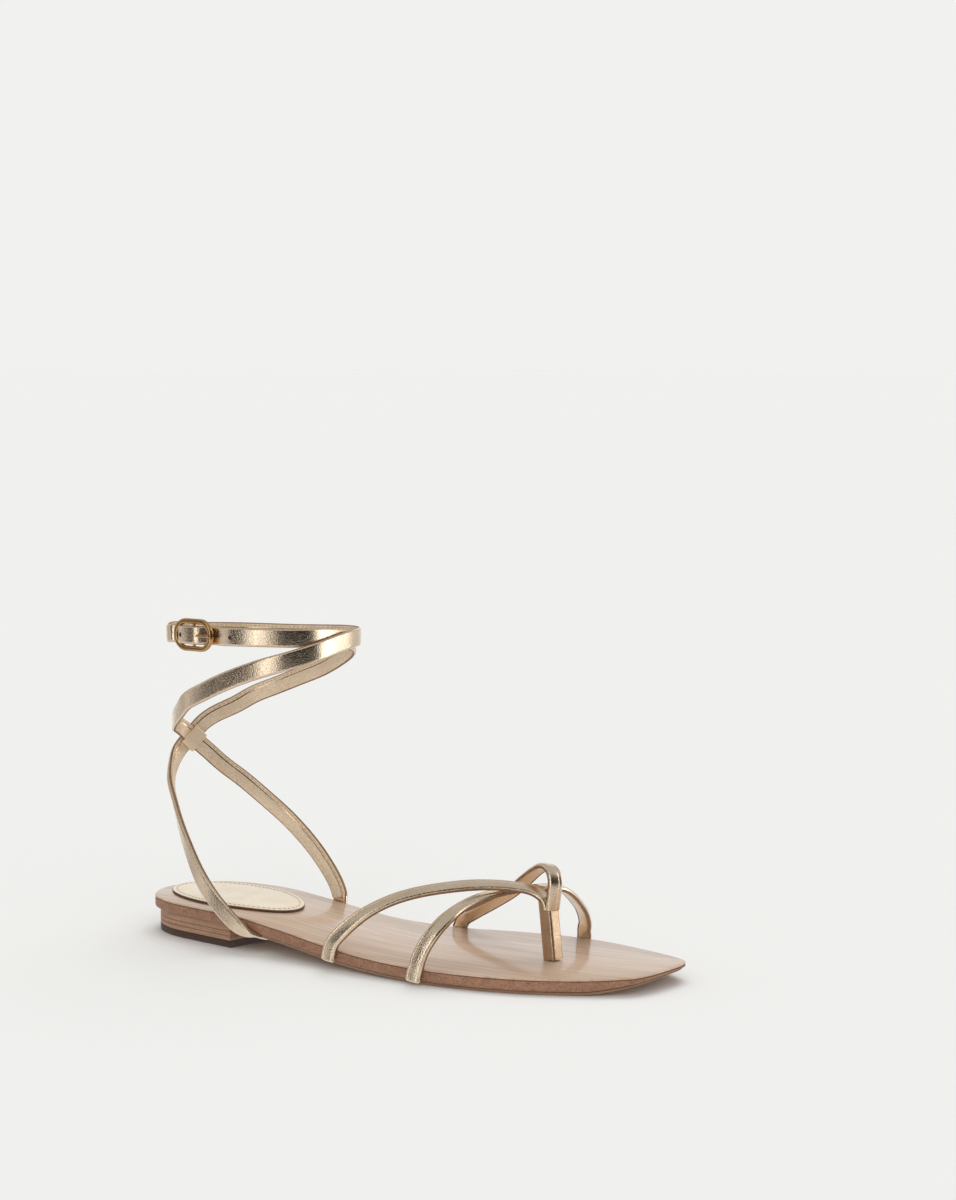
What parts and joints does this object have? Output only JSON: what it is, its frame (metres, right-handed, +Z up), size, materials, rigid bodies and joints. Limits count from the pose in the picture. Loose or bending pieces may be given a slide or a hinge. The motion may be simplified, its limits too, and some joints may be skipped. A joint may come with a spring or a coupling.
{
  "type": "flat strappy ankle-wrap sandal, right foot",
  "caption": "Flat metallic leather thong sandal with a toe post, thin forefoot straps, ankle-wrap straps with a side buckle and a low stacked heel.",
  "frame": {"origin": "bottom centre of the bounding box, on the ground plane the sole stands on", "axes": "+X from the heel toward the toe, +Y toward the medial side, +Z up"},
  "size_m": [0.2538, 0.0904, 0.1432],
  "materials": {
    "gold_leather": "metallic foil leather, pale gold, fine crinkle, semi-gloss",
    "footbed_leather": "smooth beige leather, semi-gloss",
    "board_leather": "brown leatherboard edge, satin",
    "outsole_leather": "tan sole leather, satin",
    "heel_leather": "stacked leather, cut edge, satin",
    "heel_rubber": "dark brown, matt",
    "pad_leather": "cream-gold foil leather, satin",
    "brass": "antique brass, satin"
  },
  "bodies": {
    "root": {"footbed": "footbed_leather", "midsole_board": "board_leather", "outsole": "outsole_leather", "heel_top_piece": "heel_rubber", "heel_lift_1": "heel_leather", "heel_lift_2": "heel_leather", "heel_lift_3": "heel_leather", "heel_pad": "pad_leather", "forefoot_straps": "gold_leather", "ankle_straps": "gold_leather", "keeper": "gold_leather", "buckle_frame": "brass", "buckle_prong": "brass"}
  },
  "joints": []
}
